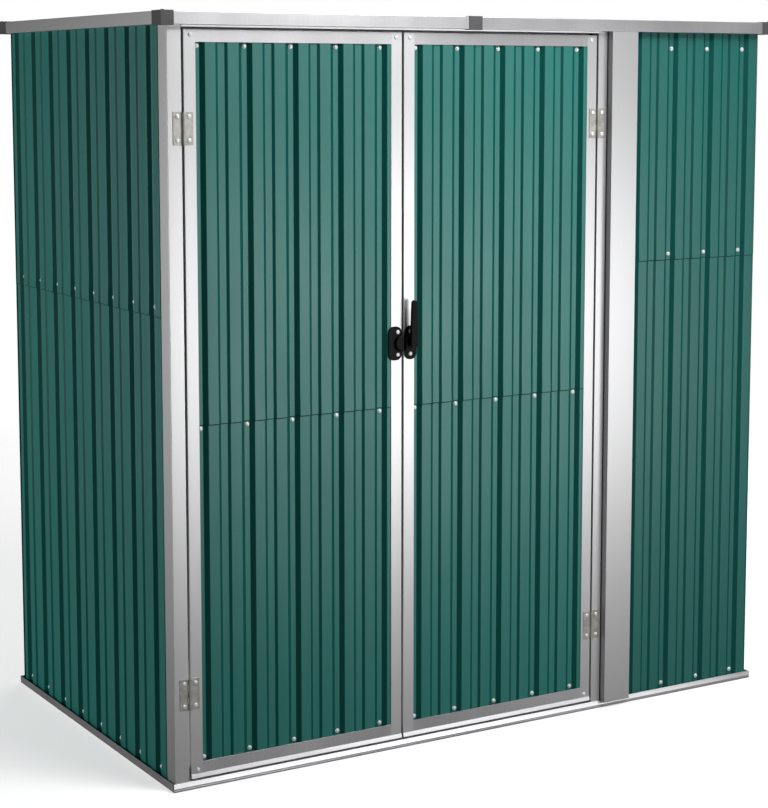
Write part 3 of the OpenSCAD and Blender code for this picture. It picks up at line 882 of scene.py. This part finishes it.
class SHED_OT_rivets(bpy.types.Operator):
    """Rivets at the corners of the door frames"""
    bl_idname = "shed.rivets"
    bl_label = "Door frame rivets"

    def execute(self, context):
        fasten(rivet_pattern(), self.rivets())
        return {"FINISHED"}

    def rivets(self):
        """Both top corners of each door, and the foot of its hinge side."""
        in_from_edge, under_top, over_foot = 17 * MM, 12 * MM, 18 * MM
        for door, outer in zip(DOORS, (-1, 1)):
            low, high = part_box(f"{door}_stiles")
            face = low.y
            left, right = low.x + in_from_edge, high.x - in_from_edge
            hung = left if outer < 0 else right
            yield (f"{door}_frame_rivets", door, FRONT,
                   [Vector((left, face, high.z - under_top)),
                    Vector((right, face, high.z - under_top)),
                    Vector((hung, face, low.z + over_foot))])


class SHED_OT_hinges(bpy.types.Operator):
    """Butt hinges with broken edges, each leaf held by two rivets"""
    bl_idname = "shed.hinges"
    bl_label = "Hinges"

    def execute(self, context):
        edge_break = 0.25 * MM
        for node in HINGES:
            piece = copy_node(node, node.replace("_leaves", "s_finished"))
            bevel(piece, outer_corner, edge_break, 1)
            shade(piece)
            finish_piece(piece, body_of(node), finish_named("hinge_zinc"), "hinge_steel", node)
        fasten(rivet_pattern(), self.rivets())
        return {"FINISHED"}

    def rivets(self):
        """Rivets in the middle of each leaf, near its two ends."""
        from_axis, from_middle, half_leaf = 14.5 * MM, 27 * MM, 37.3 * MM
        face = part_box("left_door_stiles")[0].y - HINGE_LEAF_T
        pins = {joint["child"]: Vector(joint["pos_m"]) for joint in frame["joints"]}
        low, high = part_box("frame_hinge_leaves")
        heights = [middle + reach for middle in (low.z + half_leaf, high.z - half_leaf)
                   for reach in (-from_middle, from_middle)]
        frame_places = []
        for door, side in zip(DOORS, (1, -1)):
            axis = pins[door].x
            frame_places += [Vector((axis - side * from_axis, face, z)) for z in heights]
            yield (f"{door}_hinge_rivets", door, FRONT,
                   [Vector((axis + side * from_axis, face, z)) for z in heights])
        yield "frame_hinge_rivets", "shed", FRONT, frame_places


class SHED_OT_latch(bpy.types.Operator):
    """Latch: two moulded plates with a split dome, and the lever on its boss"""
    bl_idname = "shed.latch"
    bl_label = "Latch"

    def execute(self, context):
        for node, body in (("latch_keeper", "left_door"), ("latch_base", "right_door")):
            piece = copy_node(node, node + "_moulded")
            self.round_ends(piece, radius=12 * MM, wanted=16.5 * MM)
            self.round_tops(piece, dome_round=3.5 * MM, plate_round=1.2 * MM)
            finish_piece(piece, body, finish_named("latch_plastic"), "black_plastic", node)
        lever = copy_node("latch_lever", "latch_lever_moulded")
        lever_t, lever_round = 9 * MM, 3.4 * MM
        front = min(v.co.y for v in lever.data.vertices)
        bevel(lever, lambda e: corner(e, 60) and at_depth(e, front, front + lever_t),
              lever_round, 4)
        shade(lever, 50)
        finish_piece(lever, "lever", finish_named("latch_plastic"), "black_plastic",
                     "latch_lever")
        fasten(rivet_pattern(), self.rivets())
        return {"FINISHED"}

    def round_ends(self, piece, radius, wanted):
        """Widen the round of a plate's corners, each about its own outer corner."""
        low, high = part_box(piece.name.replace("_moulded", ""))
        plate = high.y - LATCH_PLATE_T
        for vertex in piece.data.vertices:
            co = vertex.co
            edge_x = low.x if co.x - low.x < high.x - co.x else high.x
            edge_z = low.z if co.z - low.z < high.z - co.z else high.z
            near = max(abs(co.x - edge_x), abs(co.z - edge_z)) < radius + NEAR
            if near and co.y > plate - NEAR:
                co.x = edge_x + (co.x - edge_x) * wanted / radius
                co.z = edge_z + (co.z - edge_z) * wanted / radius

    def round_tops(self, piece, dome_round, plate_round):
        """Round the rim of the dome widely and the rim of the plate a little."""
        longest = 10 * MM
        plate = max(v.co.y for v in piece.data.vertices) - LATCH_PLATE_T
        dome = min(v.co.y for v in piece.data.vertices)
        bevel(piece, lambda e: outer_corner(e) and e.calc_length() < longest
              and at_depth(e, dome), dome_round, 4)
        bevel(piece, lambda e: outer_corner(e) and at_depth(e, plate), plate_round, 3)
        shade(piece, 50)

    def rivets(self):
        """A rivet near the top and the bottom of each plate."""
        from_middle = 27.5 * MM
        for node, body, inward in (("latch_keeper", "left_door", -12 * MM),
                                   ("latch_base", "right_door", 16.5 * MM)):
            low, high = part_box(node)
            edge = high.x if inward < 0 else low.x
            middle = (low.z + high.z) / 2
            face = high.y - LATCH_PLATE_T
            yield (f"{node}_rivets", body, FRONT,
                   [Vector((edge + inward, face, middle + reach))
                    for reach in (-from_middle, from_middle)])


class SHED_OT_caps(bpy.types.Operator):
    """Moulded caps over the roof beams' corners and the joint in the front beam"""
    bl_idname = "shed.caps"
    bl_label = "Beam caps"

    def execute(self, context):
        edge_round = 0.6 * MM
        for node in ("roof_corner_caps", "roof_joint_cap"):
            piece = copy_node(node, node + "_moulded")
            bevel(piece, outer_corner, edge_round, 2)
            shade(piece, 50)
            finish_piece(piece, body_of(node), finish_named("cap_plastic"), "grey_plastic", node)
        return {"FINISHED"}


# ---- Stage ----

def area_light(name, power, place, target, size):
    """A soft rectangular light that faces a point. Its size is a width and a height."""
    light = bpy.data.lights.new(name, "AREA")
    light.shape = "RECTANGLE"
    light.size, light.size_y = size
    light.energy = power
    lamp = bpy.data.objects.new(name, light)
    lamp.location = place
    lamp.rotation_euler = (Vector(target) - Vector(place)).to_track_quat("-Z", "Y").to_euler()
    lamp.visible_camera = False
    bpy.context.collection.objects.link(lamp)
    return lamp


class SHED_OT_stage(bpy.types.Operator):
    """Pale floor, soft studio light and the camera"""
    bl_idname = "shed.stage"
    bl_label = "Stage"

    def execute(self, context):
        context.scene.view_settings.view_transform = "Standard"
        self.floor()
        self.world(context)
        self.lights()
        self.camera(context)
        return {"FINISHED"}

    def floor(self):
        """A round floor that fades into the background, and lights nothing itself."""
        radius, fade_start, fade_end = 5, 2.0, 4.6
        bpy.ops.object.select_all(action="DESELECT")
        bpy.ops.mesh.primitive_circle_add(vertices=96, radius=radius, fill_type="NGON")
        floor = bpy.context.view_layer.objects.active
        floor.name = "studio_floor"
        finish = Finish("studio_floor", Base_Color=(0.9, 0.9, 0.9, 1), Roughness=0.9,
                        Specular_IOR_Level=0.0, Emission_Color=(1, 1, 1, 1),
                        Emission_Strength=0.5)
        place = finish.add("ShaderNodeVectorMath", {0: finish.object}, operation="LENGTH")
        fade = finish.spread(place.outputs["Value"], 1.0, 0.0, fade_start, fade_end)
        finish.use(Alpha=fade)
        floor.data.materials.append(finish.material)
        floor.visible_diffuse = False
        floor.visible_glossy = False

    def world(self, context):
        """White behind the shed, a soft band of light round the horizon and a pale ground."""
        world = bpy.data.worlds.new("studio")
        context.scene.world = world
        world.use_nodes = True
        world.node_tree.nodes.clear()
        nodes = NodeTree(world.node_tree)
        place = nodes.add("ShaderNodeTexCoord").outputs["Generated"]
        x, y, z = nodes.add("ShaderNodeSeparateXYZ", {0: place}).outputs[:]
        ray = nodes.add("ShaderNodeLightPath").outputs
        ground = nodes.combine("MULTIPLY", self.ground(nodes, x, y, z), ray["Is Glossy Ray"])
        ground = nodes.combine("MULTIPLY", ground, stage().ground)
        level = nodes.combine("ADD", self.horizon(nodes, x, z), ground)
        soft = nodes.add("ShaderNodeBackground", {"Strength": level}).outputs[0]
        white = nodes.add("ShaderNodeBackground", {"Color": (1, 1, 1, 1)}).outputs[0]
        mix = nodes.add("ShaderNodeMixShader", {"Fac": ray["Is Camera Ray"], 1: soft, 2: white})
        nodes.add("ShaderNodeOutputWorld", {"Surface": mix.outputs[0]})

    def horizon(self, nodes, x, z):
        """Grey levels from straight down to straight up, dimmer towards the left."""
        levels = [(0.0, 0.16), (0.36, 0.20), (0.46, 0.16), (0.52, 0.10), (0.70, 0.16), (1.0, 0.20)]
        height = nodes.spread(z, 0.0, 1.0, start=-1.0, end=1.0)
        band = nodes.add("ShaderNodeValToRGB", {"Fac": height})
        while len(band.color_ramp.elements) < len(levels):
            band.color_ramp.elements.new(0.5)
        for element, (position, level) in zip(band.color_ramp.elements, levels):
            element.position = position
            element.color = (level, level, level, 1)
        side = nodes.spread(x, 0.12, 1.0, start=-1.0, end=0.4)
        return nodes.combine("MULTIPLY", band.outputs["Color"], side)

    def ground(self, nodes, x, y, z):
        """1 below the horizon, towards the back right and the front left. 0 elsewhere."""
        corners = nodes.combine("MULTIPLY", x, y)
        return nodes.combine("MULTIPLY", nodes.spread(corners, 0.0, 1.0, start=0.04, end=0.22),
                             nodes.spread(z, 0.0, 1.0, start=0.06, end=-0.14))

    def lights(self):
        """A wide soft box to the right of the front. The others fill the walls, door and roof."""
        middle = (CAD_BOX[0] + CAD_BOX[1]) / 2
        power = stage()
        area_light("key_light", power.key, place=(1.3, -3.0, 0.70), target=(1.3, 0, 0.70),
                   size=(2.4, 1.3))
        area_light("door_light", power.door, place=(0.3, -1.7, 2.5), target=(-0.55, -0.49, 1.4),
                   size=(0.6, 0.5))
        area_light("side_light", power.side, place=(-4.2, 1.7, 1.0), target=middle, size=(1.8, 2.2))
        wash = area_light("wall_light", power.wash, place=(-4.4, 2.2, 1.0), target=middle,
                          size=(2.0, 1.8))
        wash.visible_glossy = False
        area_light("right_light", power.right, place=(4.3, 0.9, 1.2), target=middle,
                   size=(2.0, 2.0))
        area_light("top_light", power.top, place=(1.2, -2.8, 4.2), target=middle, size=(2.4, 2.4))
        area_light("back_light", power.back, place=(2.8, 3.6, 3.0), target=middle, size=(2.5, 2.5))

    def camera(self, context):
        set_up = stage()
        data = bpy.data.cameras.new("camera")
        data.lens = set_up.lens
        data.sensor_width = 36
        data.shift_y = set_up.shift
        camera = bpy.data.objects.new("camera", data)
        camera.location = set_up.camera_place
        camera.rotation_euler = (pi / 2 - set_up.camera_tilt, 0, -set_up.camera_turn)
        bpy.context.collection.objects.link(camera)
        context.scene.camera = camera


class SHED_PT_panel(bpy.types.Panel):
    """Buttons for the shed's pieces"""
    bl_idname = "SHED_PT_panel"
    bl_label = "Garden shed"
    bl_space_type = "VIEW_3D"
    bl_region_type = "UI"
    bl_category = "Shed"

    def draw(self, context):
        for operator in OPERATORS:
            self.layout.operator(operator.bl_idname)
        for name in SETTINGS:
            group = getattr(context.scene, name)
            for key in group.bl_rna.properties.keys():
                if key not in ("rna_type", "name"):
                    self.layout.prop(group, key)


SETTINGS = {
    "shed_steel": ShedSteelSettings,
    "shed_fasteners": ShedFastenerSettings,
    "shed_colours": ShedColourSettings,
    "shed_stage": ShedStageSettings,
}
OPERATORS = [
    SHED_OT_sheets, SHED_OT_folded_frame, SHED_OT_door_rails, SHED_OT_base_rails,
    SHED_OT_screws, SHED_OT_rivets, SHED_OT_hinges, SHED_OT_latch, SHED_OT_caps,
    SHED_OT_stage,
]


def register():
    for name, group in SETTINGS.items():
        bpy.utils.register_class(group)
        setattr(bpy.types.Scene, name, PointerProperty(type=group))
    for operator in OPERATORS:
        bpy.utils.register_class(operator)
    bpy.utils.register_class(SHED_PT_panel)


def unregister():
    bpy.utils.unregister_class(SHED_PT_panel)
    for operator in reversed(OPERATORS):
        bpy.utils.unregister_class(operator)
    for name, group in SETTINGS.items():
        delattr(bpy.types.Scene, name)
        bpy.utils.unregister_class(group)


def main():
    register()
    for operator in OPERATORS:
        group, name = operator.bl_idname.split(".")
        getattr(getattr(bpy.ops, group), name)()


if __name__ == "__main__":
    main()
